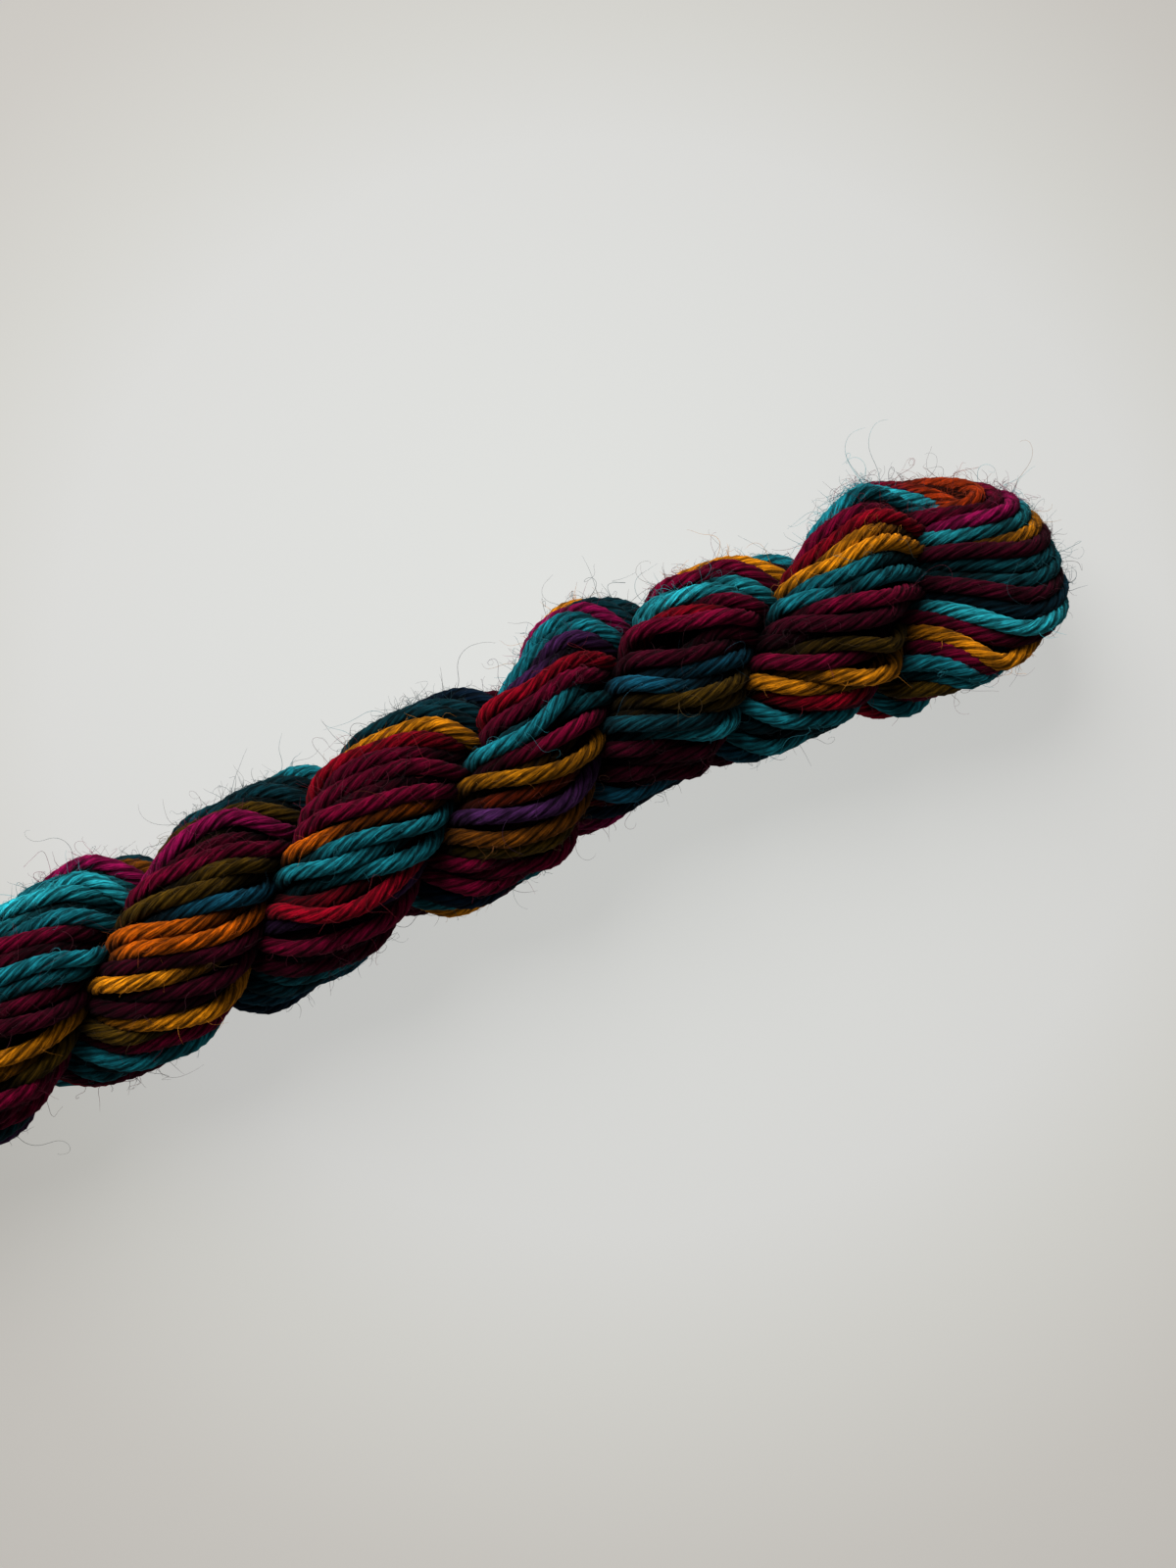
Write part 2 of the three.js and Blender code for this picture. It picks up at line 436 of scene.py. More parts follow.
def outlines_of_half(course, half):
    rope, rope_middle = rope_outlines(course, half)
    around = -math.pi * (course["half_turns"] + half)
    level = -math.pi * (np.where(ALONG > 0, 7.5, -0.5) + half)
    fold, fold_middle = fold_outlines(course, half, around + (level - around) * FOLD_SHARE)
    share = FOLD_SHARE[:, None, None]
    outlines = rope + (fold - rope) * share
    middles = rope_middle + (fold_middle - rope_middle) * share
    if half == 1:
        place, length, amount = LAST_BULGE_STRAY
        stray = (amount * np.exp(-((ALONG - place) / length) ** 2))[:, None]
        outlines[..., 0] += stray
        middles[..., 0] += stray
    return outlines, middles


def lengths_round(outlines):
    steps = np.linalg.norm(np.diff(outlines, axis=1), axis=-1)
    return np.concatenate((np.zeros((len(outlines), 1)), np.cumsum(steps, axis=1)), axis=1)


def travel_round(course, lengths):
    """How often the threads of a half have gone round its outline at each station, so that in front
    they run along the rope at the wanted slope. Whole half rounds close every turn of the thread."""
    turning = math.pi * np.gradient(course["half_turns"], ALONG_STEP)
    slope = ROPE_SLOPE + (FOLD_SLOPE - ROPE_SLOPE) * FOLD_SHARE
    speed = (turning * (course["reach"] + course["thick"] - THREAD_RADIUS) + slope) / lengths[:, -1]
    travelled = np.cumsum(speed) * ALONG_STEP
    travelled -= travelled[0]
    return travelled * round(2.0 * travelled[-1]) / (2.0 * travelled[-1])


def places_of_turns(outlines, middles, lengths, places, depths):
    """Where the turns of a half lie in each upright plane, by their place round its outline."""
    turns = np.empty((*places.shape, 2))
    for station, (outline, length) in enumerate(zip(outlines, lengths)):
        target = np.mod(places[:, station], 1.0) * length[-1]
        rim = np.stack([np.interp(target, length, outline[:, axis]) for axis in (0, 1)], axis=-1)
        turns[:, station] = middles[station] + (rim - middles[station]) * depths[:, station, None]
    return turns


def fan_out(course, turns, laps, depths, facing):
    """The turns of the upper half, fanned out between the last crease and the turn."""
    outlines, middles = fold_outlines(course, 0, np.full(STATIONS, math.pi / 2.0))
    lengths = lengths_round(outlines)
    last = np.mod(facing * laps[:, 0 if facing < 0 else -1] + 0.25, 1.0) - 0.25
    place, lean, bend, dive = np.array(FAN).T
    back = np.clip(TURN_AT - facing * ALONG, 0.0, TURN_AT - FAN_FROM)[None, :]
    lean, bend, dive = (np.interp(last, place, column)[:, None] for column in (lean, bend, dive))
    before = last[:, None] - (lean * back + bend * back**3) / lengths[None, :, -1]
    fanned = places_of_turns(outlines, middles, lengths, facing * before, depths)
    fanned[..., 1] -= dive * np.minimum(back, TURN_AT - FAN_FORMED) ** 2
    share = smooth_step(facing * ALONG, FAN_FROM, FAN_FORMED)[None, :, None]
    return turns + (fanned - turns) * share


def slow_noise(rng, rows, size):
    """Smooth noise along the rope, a row of it for each turn of the thread."""
    terms = (rows, NOISE_TERMS, 1)
    wave = rng.uniform(1.0, NOISE_PERIODS, terms)
    phase = rng.uniform(0.0, 2.0 * math.pi, terms)
    strength = rng.normal(0.0, size / math.sqrt(NOISE_TERMS), terms)
    place = (ALONG + LENGTH / 2) / LENGTH
    return (strength * np.sin(2.0 * math.pi * wave * place + phase)).sum(axis=1)


class Lay:
    """The turns of the thread: where each lies in the upright plane at each station, for both halves,
    and in the planes that turn round the folds."""

    def __init__(self, rng):
        self.course = course_at(ALONG)
        slots, depths = turn_slots()
        count = len(slots)
        self.laps = []
        self.halves = []
        reached = []
        for half, sense in ((0, 1.0), (1, -1.0)):
            outlines, middles = outlines_of_half(self.course, half)
            lengths = lengths_round(outlines)
            laps = sense * slots[:, None] + travel_round(self.course, lengths)
            stray = slow_noise(rng, count, STRAY_ROUND)
            reached.append(depths[:, None] + slow_noise(rng, count, STRAY_INWARD))
            self.laps.append(laps)
            self.halves.append(
                places_of_turns(outlines, middles, lengths, laps + stray, reached[half])
            )
        for facing in (-1, 1):
            self.halves[0] = fan_out(
                self.course, self.halves[0], self.laps[0], reached[0], facing
            )
        self.fold_height = {
            facing: AXIS_HEIGHT - self.course["drop"][0 if facing < 0 else -1] for facing in (-1, 1)
        }
        self.folds = {facing: self.first_fold(facing) for facing in (-1, 1)}

    def fold_edges(self, facing):
        """Sideways place and height from the fold's middle, above and below, of each turn."""
        end = 0 if facing < 0 else -1
        height = self.fold_height[facing]
        above = self.halves[0][:, end] - (0.0, height)
        below = (self.halves[1][:, end] - (0.0, height)) * (1.0, -1.0)
        return above, below

    def first_fold(self, facing):
        """The turns round a fold, which leave both halves in the direction that they have there."""
        end, before = (0, 1) if facing < 0 else (-1, -2)
        above, below = self.fold_edges(facing)
        length = math.pi * (above[:, 1] + below[:, 1])[:, None] / 2.0
        leaving, arriving = (
            (half[:, end, :1] - half[:, before, :1]) / ALONG_STEP * length for half in self.halves
        )
        share = ((np.arange(TURN_STATIONS) + 1) / (TURN_STATIONS + 1))[None, :, None]
        back = 1.0 - share
        fold = above[:, None] * back + below[:, None] * share
        rest = 1.0 - share * share * (3.0 - 2.0 * share) - back
        fold[..., :1] += (above - below)[:, None, :1] * rest
        fold[..., :1] += leaving[:, None] * share * back**2
        fold[..., :1] += TURN_EASE * arriving[:, None] * share**2 * back
        return fold

    def as_loops(self):
        """Both halves and both folds as closed loops, with heights below the middle turned over."""
        flip = np.array((1.0, -1.0))
        return np.concatenate(
            (self.halves[0], self.folds[1], self.halves[1][:, ::-1] * flip, self.folds[-1][:, ::-1]),
            axis=1,
        )

    def take_loops(self, loops):
        a, b = STATIONS, STATIONS + TURN_STATIONS
        c = b + STATIONS
        self.halves = [loops[:, :a], loops[:, b:c][:, ::-1] * np.array((1.0, -1.0))]
        self.folds = {1: loops[:, a:b], -1: loops[:, c:][:, ::-1]}

    def settle(self):
        """Threads push each other apart where they are too close, and stay near where they were laid."""
        start = self.as_loops()
        width = 2.0 * THREAD_RADIUS * SQUEEZE
        for _ in range(SETTLING_ROUNDS):
            both = np.concatenate(self.halves, axis=0).transpose(1, 0, 2)
            slopes = np.gradient(both, ALONG_STEP, axis=0)
            push = push_apart(both, slopes, width).transpose(1, 0, 2)
            count = len(self.laps[0])
            self.halves = [self.halves[0] + push[:count], self.halves[1] + push[count:]]
            for facing, fold in self.folds.items():
                flat = fold.transpose(1, 0, 2)
                moved = flat + push_apart(flat, np.zeros_like(flat), width)
                moved[..., 1] = np.maximum(moved[..., 1], THREAD_RADIUS * FOLD_CORE)
                self.folds[facing] = moved.transpose(1, 0, 2)
            shift = self.as_loops() - start
            self.take_loops(start + evened(shift) * MOVE_KEPT)
            for half in self.halves:
                half[..., 1] = np.maximum(half[..., 1], THREAD_RADIUS)

    def in_space(self):
        """Points of every closed turn, in millimetres."""
        count = len(self.laps[0])
        flat = np.broadcast_to(ALONG[None, :, None], (count, STATIONS, 1))
        parts = [np.concatenate((flat, half), axis=-1) for half in self.halves]
        turns = {}
        for facing, fold in self.folds.items():
            along = facing * (TURN_AT + fold[..., 1] * np.cos(TURN_ANGLES))
            height = self.fold_height[facing] + fold[..., 1] * np.sin(TURN_ANGLES)
            turns[facing] = np.stack((along, fold[..., 0], height), axis=-1)
        loops = np.concatenate((parts[0], turns[1], parts[1][:, ::-1], turns[-1][:, ::-1]), axis=1)
        facing = np.sign(loops[..., 0])
        middle = np.where(facing > 0, self.course["side"][-1], self.course["side"][0])
        share = smooth_step(np.abs(loops[..., 0]), FOLD_STARTS_AT, TURN_AT)
        loops[..., 0] -= facing * TURN_DISH * share * (loops[..., 1] - middle) ** 2
        share = smooth_step(np.abs(loops[..., :1]), FAN_FROM, FOLD_STARTS_AT)
        for _ in range(FOLD_SMOOTHING):
            loops = loops + (evened(loops) - loops) * share
        loops[..., 2] = np.maximum(loops[..., 2], THREAD_RADIUS + FLOOR_GAP)
        return loops


def push_apart(flat, slopes, width):
    """The move that parts the threads that are closer than width in each plane of stations."""
    gap = flat[:, :, None] - flat[:, None]
    mean = (slopes[:, :, None] + slopes[:, None]) / 2.0
    lengthwise = (gap * mean).sum(axis=-1) ** 2 / (1.0 + (mean**2).sum(axis=-1))
    distance = np.sqrt(np.maximum((gap**2).sum(axis=-1) - lengthwise, 1e-6))
    short = np.clip(width - distance, 0.0, width)
    count = flat.shape[1]
    short[:, range(count), range(count)] = 0.0
    return ((PUSH * short / distance)[..., None] * gap).sum(axis=2)


# Dyeing the threads

def names(text):
    return [name.strip() for name in text.split(",")]


def open_share(flat):
    """Share of the directions in each plane of stations in which the threads have a free way out."""
    gap = flat[:, None] - flat[:, :, None]
    shut = np.zeros(flat.shape[:2])
    for angle in np.linspace(0.0, 2.0 * math.pi, OPEN_DIRECTIONS, endpoint=False):
        onward = gap[..., 0] * math.cos(angle) + gap[..., 1] * math.sin(angle)
        across = gap[..., 1] * math.cos(angle) - gap[..., 0] * math.sin(angle)
        shut += ((onward > SHUT_FROM) & (np.abs(across) < THREAD_RADIUS)).any(axis=-1)
    return (1.0 - shut / OPEN_DIRECTIONS).T


def painted_crease_shade(lay):
    """Painted shade in the creases: how much of their colour the threads keep, little where they lie
    deep in a crease.
    """
    both = open_share(np.concatenate(lay.halves, axis=0).transpose(1, 0, 2))
    count = len(lay.laps[0])
    turns = {facing: open_share(fold.transpose(1, 0, 2)) for facing, fold in lay.folds.items()}
    share = np.concatenate(
        (both[:count], turns[1], both[count:, ::-1], turns[-1][:, ::-1]), axis=1
    )
    for _ in range(CREASE_SMOOTHING):
        share = evened(share)
    return PAINTED_CREASE_SHADE + (1.0 - PAINTED_CREASE_SHADE) * smooth_step(share, *CREASE_OPEN)


def seen_dyes(lay, half):
    """The charted colour of each turn of one half, by the turn and the number of its lap, where it comes
    to the surface on a bulge that shows."""
    columns = lay.course["half_turns"]
    shown = {bulge: [] for bulge in BULGES if (bulge + half) % 2 == 1}
    for turn, lap in enumerate(lay.laps[half]):
        for number in range(math.ceil(lap[0]), math.floor(lap[-1]) + 1):
            place = np.interp(number, lap, columns)
            for bulge, turns in shown.items():
                if bulge != FAN_BULGE and abs(place - bulge - 0.5) < 0.5 + CHART_MARGIN:
                    turns.append((-place, turn, number))
        last = lay.halves[half][turn, -1]
        if FAN_BULGE in shown and last[1] > lay.fold_height[1] + FAN_SIDE:
            shown[FAN_BULGE].append((-last[0], turn, round(lap[-1])))
    thread_colours = {}
    for bulge, turns in shown.items():
        chart = names(BULGES[bulge])
        for rank, (_, turn, number) in enumerate(sorted(turns)):
            thread_colours[turn, number] = DYES[chart[rank * len(chart) // len(turns)]]
    return thread_colours


def dyes_of_half(lay, half, rng):
    """Dye of each turn of one half at each station. A turn comes to the surface once in each half turn
    of the rope, and its colour changes while it is inside."""
    seen = seen_dyes(lay, half)
    hidden = names(HIDDEN_DYES)
    colours = np.empty((*lay.laps[half].shape, 3))
    for turn, lap in enumerate(lay.laps[half]):
        first = math.floor(lap.min()) - 1
        last = math.ceil(lap.max()) + 1
        picks = np.array([
            seen.get((turn, number), DYES[hidden[rng.integers(len(hidden))]])
            for number in range(first, last + 1)
        ])
        number = np.floor(lap + 0.5).astype(int)
        inside = lap + 0.5 - number
        share = smooth_step(inside, 0.0, DYE_CHANGE)[:, None]
        here = picks[number - first]
        before = picks[np.maximum(number - 1 - first, 0)]
        colours[turn] = before + (here - before) * share
    return colours


def dyes_with_painted_shade(lay, rng):
    upper = dyes_of_half(lay, 0, rng)
    lower = dyes_of_half(lay, 1, rng)
    steps = np.arange(TURN_STATIONS)
    share = smooth_step(steps, FOLD_DYE_FROM * TURN_STATIONS, TURN_STATIONS)[None, :, None]
    turns = {
        end: upper[:, end, None] * (1.0 - share) + lower[:, end, None] * share for end in (0, -1)
    }
    colours = np.concatenate((upper, turns[-1], lower[:, ::-1], turns[0][:, ::-1]), axis=1)
    # The colours come back darkened by painted shade deep in the creases
    return colours * painted_crease_shade(lay)[..., None]


# Node trees

class Wire:
    """An output of a node. The operators add Math nodes."""

    def __init__(self, nodes, socket):
        self.nodes = nodes
        self.socket = socket

    def _math(self, operation, first, second):
        return self.nodes.add(
            "ShaderNodeMath", {"operation": operation}, {0: first, 1: second}
        )

    def __add__(self, other):
        return self._math("ADD", self, other)

    def __radd__(self, other):
        return self._math("ADD", other, self)

    def __sub__(self, other):
        return self._math("SUBTRACT", self, other)

    def __rsub__(self, other):
        return self._math("SUBTRACT", other, self)

    def __mul__(self, other):
        return self._math("MULTIPLY", self, other)

    def __rmul__(self, other):
        return self._math("MULTIPLY", other, self)

    def __truediv__(self, other):
        return self._math("DIVIDE", self, other)

    def __pow__(self, other):
        return self._math("POWER", self, other)


class Nodes:
    """Makes the nodes of one tree."""

    def __init__(self, tree):
        self.tree = tree

    def add(self, kind, settings=None, sockets=None, output=0):
        """A node of that kind. Settings are set first, then sockets, by name or number, get a value or a
        link. Gives back the wire of one output, or the node itself if it has none."""
        node = self.tree.nodes.new(kind)
        for name, value in (settings or {}).items():
            if name == "stops":
                self._set_stops(node.color_ramp, value)
            else:
                setattr(node, name, value)
        for name, value in (sockets or {}).items():
            if isinstance(value, Wire):
                self.tree.links.new(value.socket, node.inputs[name])
            else:
                node.inputs[name].default_value = value
        if not node.outputs:
            return node
        return Wire(self, node.outputs[output])

    def also(self, wire, output):
        """Another output of the node that a wire comes from."""
        return Wire(self, wire.socket.node.outputs[output])

    @staticmethod
    def _set_stops(ramp, stops):
        while len(ramp.elements) < len(stops):
            ramp.elements.new(1.0)
        for element, (place, colour) in zip(ramp.elements, stops):
            element.position = place
            element.color = colour


def geometry_tree(name, sizes):
    """A Geometry Nodes tree with named number inputs, its maker, and the wires of its inputs."""
    tree = bpy.data.node_groups.new(name, "GeometryNodeTree")
    tree.interface.new_socket("Geometry", in_out="INPUT", socket_type="NodeSocketGeometry")
    tree.interface.new_socket("Geometry", in_out="OUTPUT", socket_type="NodeSocketGeometry")
    for label, kind in sizes.items():
        socket_type = {int: "NodeSocketInt", float: "NodeSocketFloat"}[kind]
        tree.interface.new_socket(label, in_out="INPUT", socket_type=socket_type)
    nodes = Nodes(tree)
    start = nodes.add("NodeGroupInput")
    wires = {label: nodes.also(start, label) for label in ("Geometry", *sizes)}
    return tree, nodes, wires


def run_tree(tree, obj, values, name):
    """The mesh that a tree makes of an object with these inputs, as a new object."""
    modifier = obj.modifiers.new(tree.name, "NODES")
    modifier.node_group = tree
    for item in tree.interface.items_tree:
        if item.in_out == "INPUT" and item.name in values:
            modifier[item.identifier] = values[item.name]
    bpy.context.view_layer.update()
    seen = obj.evaluated_get(bpy.context.evaluated_depsgraph_get())
    mesh = bpy.data.meshes.new_from_object(seen)
    obj.modifiers.remove(modifier)
    mesh.name = name
    made = bpy.data.objects.new(name, mesh)
    bpy.context.collection.objects.link(made)
    return made


def tube_of_path(nodes, path, ring, material, scale):
    """The last steps of a tree: tubes along the paths, with their material."""
    tubes = nodes.add(
        "GeometryNodeCurveToMesh", None, {"Curve": path, "Profile Curve": ring, "Scale": scale}
    )
    tubes = nodes.add("GeometryNodeSetShadeSmooth", None, {"Geometry": tubes})
    tubes = nodes.add("GeometryNodeRealizeInstances", None, {"Geometry": tubes})
    tubes = nodes.add(
        "GeometryNodeSetMaterial", None, {"Geometry": tubes, "Material": material}
    )
    nodes.add("NodeGroupOutput", None, {"Geometry": tubes})


def smooth_path(nodes, geometry, resolution):
    """Smooth curves through the points of paths that are made of edges."""
    path = nodes.add("GeometryNodeMeshToCurve", None, {"Mesh": geometry})
    path = nodes.add("GeometryNodeCurveSplineType", {"spline_type": "CATMULL_ROM"}, {"Curve": path})
    return nodes.add(
        "GeometryNodeSetSplineResolution", None, {"Geometry": path, "Resolution": resolution}
    )


def keep(nodes, geometry, name, value):
    """Geometry that carries a number at each of its points, under that name."""
    return nodes.add(
        "GeometryNodeStoreNamedAttribute", {"data_type": "FLOAT", "domain": "POINT"},
        {"Geometry": geometry, "Name": name, "Value": value},
    )


def grooves(nodes, around, plies, sharpness, between_plies, between_strands):
    """A value that rises in the grooves between the plies, and less in those between their strands."""
    wave = nodes.add(
        "ShaderNodeMath", {"operation": "COSINE"}, {0: around * plies * (2.0 * math.pi)}
    )
    deep = ((wave + 1.0) * 0.5) ** sharpness * between_plies
    fine = ((1.0 - wave) * 0.5) ** STRAND_GROOVE_SHARPNESS * between_strands
    return deep + fine


def thread_tree(material):
    """A tube along each closed thread path, with the grooves between its plies and its strands."""
    sizes = {"Radius": float, "Step": float, "Lay": float, "Plies": int, "Points of a ply": int}
    tree, nodes, size = geometry_tree("plied_thread", sizes)
    path = smooth_path(nodes, size["Geometry"], THREAD_CURVE_STEPS)
    path = nodes.add(
        "GeometryNodeResampleCurve", {"mode": "LENGTH"}, {"Curve": path, "Length": size["Step"]}
    )
    run = nodes.add("GeometryNodeSplineParameter", None, None, "Length")
    path = keep(nodes, path, "run", run)
    share = nodes.add("GeometryNodeSplineParameter", None, None, "Factor")
    whole = nodes.add("GeometryNodeSplineLength", None, None, "Length")
    turns = nodes.add("ShaderNodeMath", {"operation": "ROUND"}, {0: whole / size["Lay"]})
    path = nodes.add(
        "GeometryNodeSetCurveTilt", None, {"Curve": path, "Tilt": turns * share * (-2.0 * math.pi)}
    )
    ring = nodes.add(
        "GeometryNodeCurvePrimitiveCircle", {"mode": "RADIUS"},
        {"Resolution": size["Plies"] * size["Points of a ply"], "Radius": size["Radius"]},
    )
    around = nodes.add("GeometryNodeSplineParameter", None, None, "Factor")
    ring = keep(nodes, ring, "around", around)
    depth = grooves(
        nodes, around, size["Plies"], PLY_GROOVE_SHARPNESS, PLY_GROOVE, STRAND_GROOVE
    )
    place = nodes.add("GeometryNodeInputPosition")
    inward = nodes.add(
        "ShaderNodeVectorMath", {"operation": "SCALE"}, {0: place, "Scale": 0.0 - depth}
    )
    ring = nodes.add("GeometryNodeSetPosition", None, {"Geometry": ring, "Offset": inward})
    plump = nodes.add("GeometryNodeInputNamedAttribute", {"data_type": "FLOAT"}, {"Name": "plump"})
    tube_of_path(nodes, path, ring, material, plump)
    return tree


def fibre_tree(material):
    """A thin tapered tube along each open fibre path."""
    sizes = {"Radius": float}
    tree, nodes, size = geometry_tree("loose_fibre", sizes)
    path = smooth_path(nodes, size["Geometry"], FIBRE_CURVE_STEPS)
    ring = nodes.add(
        "GeometryNodeCurvePrimitiveCircle", {"mode": "RADIUS"},
        {"Resolution": FIBRE_SIDES, "Radius": size["Radius"]},
    )
    share = nodes.add("GeometryNodeSplineParameter", None, None, "Factor")
    tube_of_path(nodes, path, ring, material, 1.0 - share * FIBRE_TAPER)
    return tree


# Materials

def empty_material(name):
    """A material without nodes, and the maker of its nodes."""
    material = bpy.data.materials.new(name)
    material.use_nodes = True
    material.node_tree.nodes.clear()
    return material, Nodes(material.node_tree)


def tone_of_noise(nodes, noise, tones):
    used_from, used_to = NOISE_USED
    lowest, highest = tones
    return nodes.add(
        "ShaderNodeMapRange", None,
        {
            "Value": noise, "From Min": used_from, "From Max": used_to,
            "To Min": lowest, "To Max": highest,
        },
    )


def wool_material():
    """Dyed wool: fibres along the strands, patches of stronger and weaker dyeing, and painted shade in
    its grooves.
    """
    material, nodes = empty_material("wool")
    # The colour read here is the dyeing with painted shade in the creases multiplied in
    dye = nodes.add("ShaderNodeAttribute", {"attribute_name": "dye"}, None, "Color")
    around = nodes.add("ShaderNodeAttribute", {"attribute_name": "around"}, None, "Fac")
    run = nodes.add("ShaderNodeAttribute", {"attribute_name": "run"}, None, "Fac")
    place = nodes.add("ShaderNodeTexCoord", None, None, "Object")
    patches = nodes.add(
        "ShaderNodeTexNoise", None, {"Vector": place, "Scale": PATCH_SCALE, "Detail": 3.0}, "Fac"
    )
    lay = nodes.add(
        "ShaderNodeCombineXYZ", None,
        {"X": around * STREAKS_ROUND, "Y": run * STREAKS_ALONG, "Z": patches * STREAK_BEND},
    )
    fibres = nodes.add(
        "ShaderNodeTexNoise", None, {"Vector": lay, "Scale": 1.0, "Detail": 3.0}, "Fac"
    )
    tone = tone_of_noise(nodes, patches, PATCH_TONES)
    streak = tone_of_noise(nodes, fibres, STREAK_TONES)
    # Painted shade in the grooves between plies and strands, taken off the colour
    dark = grooves(
        nodes, around, PLIES, PLY_SHADE_SHARPNESS, PLY_GROOVE_SHADE, STRAND_GROOVE_SHADE
    )
    colour = nodes.add(
        "ShaderNodeVectorMath", {"operation": "SCALE"},
        {0: dye, "Scale": tone * streak * (1.0 - dark)},
    )
    hairs = nodes.add(
        "ShaderNodeTexNoise", None, {"Vector": place, "Scale": HAIR_SCALE, "Detail": 2.0}, "Fac"
    )
    bump = nodes.add(
        "ShaderNodeBump", None,
        {"Strength": BUMP_STRENGTH, "Distance": BUMP_DEPTH, "Height": fibres + hairs * HAIR_BUMP},
    )
    shader = nodes.add(
        "ShaderNodeBsdfPrincipled", None,
        {
            "Base Color": colour, "Normal": bump, "Roughness": 0.9, "Specular IOR Level": 0.05,
            "Sheen Weight": 0.02, "Sheen Roughness": 0.5,
        },
    )
    nodes.add("ShaderNodeOutputMaterial", None, {"Surface": shader})
    return material


def fibre_material():
    material, nodes = empty_material("loose_wool")
    # The fibres take their thread's colour, painted crease shade included
    dye = nodes.add("ShaderNodeAttribute", {"attribute_name": "dye"}, None, "Color")
    shader = nodes.add(
        "ShaderNodeBsdfPrincipled", None, {"Base Color": dye, "Roughness": 0.7, "Alpha": 0.85}
    )
    nodes.add("ShaderNodeOutputMaterial", None, {"Surface": shader})
    return material


def floor_material():
    """A pale surface with a painted pool of light, lighter round the skein than at the edges of the
    picture. Some of its tone is a glow, painted light from a surface that is no lamp, which keeps the
    shadows on it as faint as in the photograph."""
    material, nodes = empty_material("pale_floor")
    place = nodes.add("ShaderNodeTexCoord", None, None, "Object")
    away = nodes.add(
        "ShaderNodeVectorMath", {"operation": "DISTANCE"}, {0: place, 1: FLOOR_MIDDLE}, "Value"
    )
    # Painted pool of light: lighter round the skein, darker and warmer away from it
    colour = nodes.add(
        "ShaderNodeValToRGB", {"stops": PAINTED_FLOOR_LIGHT}, {"Fac": away / FLOOR_SPAN}, "Color"
    )
    lit = nodes.add(
        "ShaderNodeVectorMath", {"operation": "SCALE"}, {0: colour, "Scale": 1.0 - FLOOR_GLOW}
    )
    # The glow is painted light: the floor gives off most of its tone by itself, which fills in the
    # shadows on it
    shader = nodes.add(
        "ShaderNodeBsdfPrincipled", None,
        {
            "Base Color": lit, "Roughness": 0.75, "Emission Color": colour,
            "Emission Strength": FLOOR_GLOW,
        },
    )
    nodes.add("ShaderNodeOutputMaterial", None, {"Surface": shader})
    return material


# Pieces

def path_object(name, points, thread_colours, closed, plump=None):
    """Paths in metres, a row of points for each, as edges that carry the colour, with painted crease
    shade, and the thickness.
    """
    count, steps = points.shape[:2]
    number = np.arange(count * steps).reshape(count, steps)
    if closed:
        edges = np.stack((number, np.roll(number, -1, axis=1)), axis=-1)
    else:
        edges = np.stack((number[:, :-1], number[:, 1:]), axis=-1)
    mesh = bpy.data.meshes.new(name)
    mesh.from_pydata(
        (points.reshape(-1, 3) * MM).tolist(), edges.reshape(-1, 2).tolist(), []
    )
    # The colour stored here includes painted shade in the creases
    colour = mesh.attributes.new("dye", "FLOAT_COLOR", "POINT")
    shade = np.ones((count * steps, 4))
    shade[:, :3] = thread_colours.reshape(-1, 3)
    colour.data.foreach_set("color", shade.ravel())
    if plump is not None:
        thick = mesh.attributes.new("plump", "FLOAT", "POINT")
        thick.data.foreach_set("value", plump.ravel())
    paths = bpy.data.objects.new(name, mesh)
    bpy.context.collection.objects.link(paths)
    return paths


def part_of_hank(piece):
    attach(piece, "root")
    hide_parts("hank")


def build_threads(loops, thread_colours, rng):
    turns, points = loops.shape[:2]
    plump = 1.0 + PLUMP_CHANGE * rng.standard_normal((turns, points))
    for _ in range(PLUMP_SMOOTHING):
        plump = evened(plump)
    tree = thread_tree(wool_material())
    for name, (first, end, step, points_of_ply) in THREAD_PIECES.items():
        paths = path_object(
            name + "_paths", loops[first:end], thread_colours[first:end], True, plump[first:end]
        )
        values = {
            "Radius": THREAD_RADIUS * MM,
            "Step": THREAD_STEP * step * MM,
            "Lay": PLY_LAY * MM,
            "Plies": PLIES,
            "Points of a ply": points_of_ply,
        }
        piece = run_tree(tree, paths, values, name)
        bpy.data.objects.remove(paths)
        part_of_hank(piece)


def unit(vectors):
    return vectors / np.maximum(np.linalg.norm(vectors, axis=1), 1e-6)[:, None]


def fibre_roots(lay, outer):
    """Where fibres can start on the outer threads, the way out of the rope there, and how likely it is
    that one starts there. More do at the far side, where they stand out against the floor."""
    roots = outer.reshape(-1, 3)
    middle = (lay.course["side"], AXIS_HEIGHT - lay.course["drop"])
    centre = np.stack([np.interp(roots[:, 0], ALONG, values) for values in middle], axis=-1)
    outward = np.zeros_like(roots)
    outward[:, 1:] = roots[:, 1:] - centre
    past = np.clip(np.abs(roots[:, 0]) - TURN_AT + FIBRE_TIP_BEFORE, 0.0, FIBRE_TIP_LENGTH)
    outward[:, 0] = np.sign(roots[:, 0]) * past * FIBRE_TIP_LEAN
    reach = np.linalg.norm(outward, axis=1)
    outward /= np.maximum(reach, 1e-6)[:, None]
    on_skin = (reach > FIBRE_SKIN) & (outward[:, 2] > FIBRE_LOWEST)
    far = outward[:, 1] * FIBRE_FAR_SHARE + outward[:, 0]
    top = np.clip(outward[:, 2] - FIBRE_TOP_FROM, 0.0, 1.0)
    weight = on_skin * np.exp(FIBRE_CROWDING * far) * (1.0 - FIBRE_TOP_LOSS * top)
    return roots, outward, weight / weight.sum()


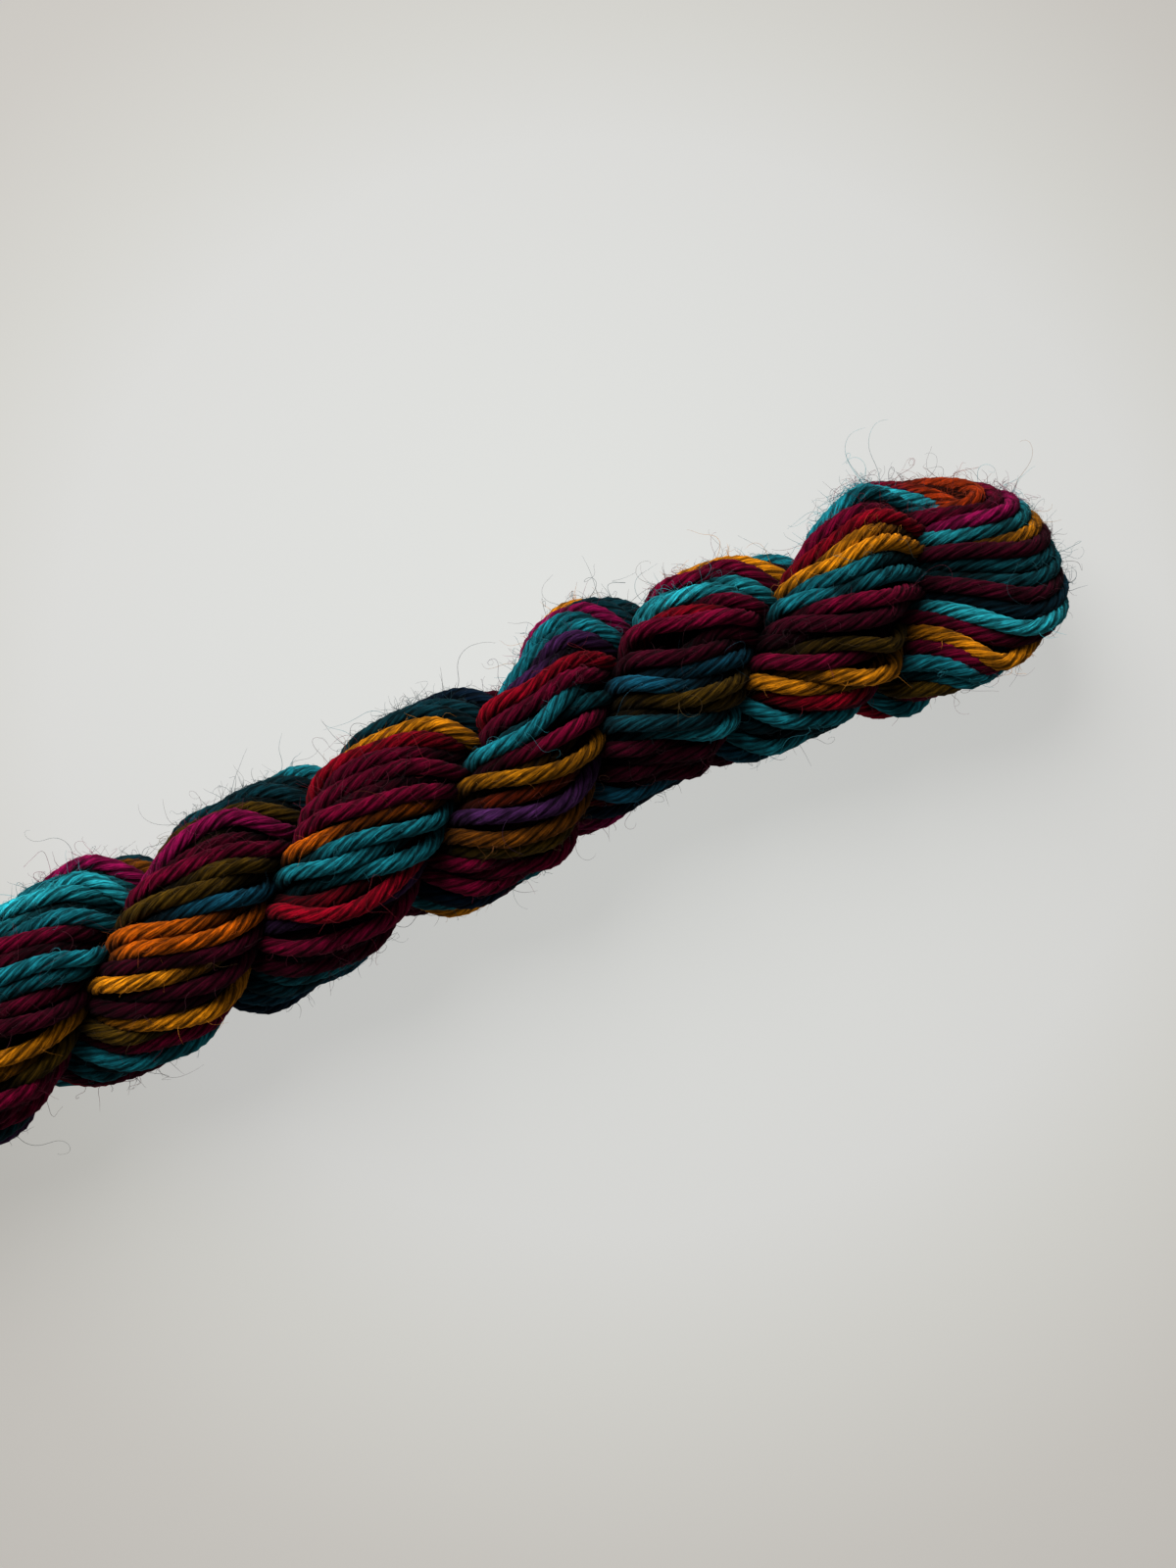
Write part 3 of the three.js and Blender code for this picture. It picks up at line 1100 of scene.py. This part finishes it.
def grow_fibres(starts, outward, steps, step, bend, rng):
    """Curly paths from these places on the threads, a row of points for each."""
    count = len(starts)
    lean = rng.uniform(*FIBRE_LEAN, (count, 1))
    heading = unit(outward * lean + FIBRE_SCATTER * rng.standard_normal((count, 3)))
    axis = unit(np.cross(heading, rng.standard_normal((count, 3))))
    points = [starts + outward * THREAD_RADIUS * FIBRE_ROOT]
    strength = bend * rng.uniform(*FIBRE_CURL, (count, 1))
    phase = rng.uniform(0.0, 2.0 * math.pi, (count, 1))
    pace = rng.uniform(*FIBRE_WAVE, (count, 1)) / steps
    length = step * rng.uniform(*FIBRE_LENGTH, (count, 1))
    for number in range(steps):
        angle = strength * (FIBRE_CURL_MIDDLE + np.cos(phase + pace * number))
        heading = unit(heading * np.cos(angle) + np.cross(axis, heading) * np.sin(angle))
        inward = np.minimum((heading * outward).sum(axis=1), 0.0)[:, None]
        heading = unit(heading - FIBRE_RISE * inward * outward)
        axis = axis + FIBRE_STRAY * rng.standard_normal((count, 3))
        axis = unit(axis - (axis * heading).sum(axis=1)[:, None] * heading)
        following = points[-1] + heading * length
        following[:, 2] = np.maximum(following[:, 2], FIBRE_CLEARANCE)
        points.append(following)
    return np.stack(points, axis=1)


def build_fibres(lay, loops, thread_colours, rng):
    """Loose fibres in the colours of the outer threads on which they start, painted crease shade
    included.
    """
    tree = fibre_tree(fibre_material())
    roots, outward, weight = fibre_roots(lay, loops[:OUTER_TURNS])
    root_colours = thread_colours[:OUTER_TURNS].reshape(-1, 3)
    for name, (count, steps, step, bend) in FIBRES.items():
        picks = rng.choice(len(roots), count, p=weight)
        points = grow_fibres(roots[picks], outward[picks], steps, step, bend, rng)
        shades = np.repeat(root_colours[picks][:, None], steps + 1, axis=1)
        paths = path_object(name + "_paths", points, shades * FIBRE_SHADE, False)
        piece = run_tree(tree, paths, {"Radius": FIBRE_RADIUS * MM}, name)
        bpy.data.objects.remove(paths)
        part_of_hank(piece)


def build_hank():
    rng = np.random.default_rng(SEED)
    lay = Lay(rng)
    lay.settle()
    loops = lay.in_space()
    # The threads' colours, darkened by painted shade deep in the creases
    thread_colours = dyes_with_painted_shade(lay, rng)
    build_threads(loops, thread_colours, rng)
    build_fibres(lay, loops, thread_colours, rng)


# Floor, light and camera

def build_stage():
    bpy.ops.mesh.primitive_plane_add(size=FLOOR_SIZE, location=(0.0, 0.0, 0.0))
    floor = bpy.context.object
    floor.name = "floor"
    floor.data.materials.append(floor_material())


def picture_axes():
    """The picture's right and its top, as level directions."""
    right = Vector((math.cos(IMAGE_TURN), -math.sin(IMAGE_TURN), 0.0))
    top = Vector((math.sin(IMAGE_TURN), math.cos(IMAGE_TURN), 0.0))
    return right, top


def build_light():
    right, top = picture_axes()
    rightward, upward, lift = WINDOW_SIDE
    place = (rightward * right + upward * top + Vector((0.0, 0.0, lift))) * WINDOW_DISTANCE
    light = bpy.data.lights.new("window", "AREA")
    light.shape = "DISK"
    light.size = WINDOW_SIZE
    light.energy = WINDOW_ENERGY
    light.color = WHITE
    window = bpy.data.objects.new("window", light)
    window.location = place
    aim = Vector(PICTURE_MIDDLE) - place
    window.rotation_euler = aim.to_track_quat("-Z", "Y").to_euler()
    bpy.context.collection.objects.link(window)
    world = bpy.data.worlds.new("room")
    world.use_nodes = True
    background = world.node_tree.nodes["Background"]
    background.inputs["Color"].default_value = (*WHITE, 1.0)
    background.inputs["Strength"].default_value = ROOM_LIGHT
    bpy.context.scene.world = world


def build_camera():
    data = bpy.data.cameras.new("camera")
    data.lens = LENS
    data.sensor_width = SENSOR
    camera = bpy.data.objects.new("camera", data)
    top = picture_axes()[1]
    lift = Vector((0.0, 0.0, 1.0))
    back = lift * math.sin(CAMERA_HEIGHT_ANGLE) - top * math.cos(CAMERA_HEIGHT_ANGLE)
    picture_up = top * math.sin(CAMERA_HEIGHT_ANGLE) + lift * math.cos(CAMERA_HEIGHT_ANGLE)
    picture_right = picture_up.cross(back)
    turn = Matrix((picture_right, picture_up, back)).transposed()
    camera.matrix_world = Matrix.Translation(
        Vector(PICTURE_MIDDLE) + back * CAMERA_DISTANCE
    ) @ turn.to_4x4()
    bpy.context.collection.objects.link(camera)
    bpy.context.scene.camera = camera


def main():
    build_hank()
    build_stage()
    build_light()
    build_camera()
    bpy.context.scene.view_settings.view_transform = "Standard"
    bpy.context.scene.view_settings.gamma = VIEW_GAMMA


main()
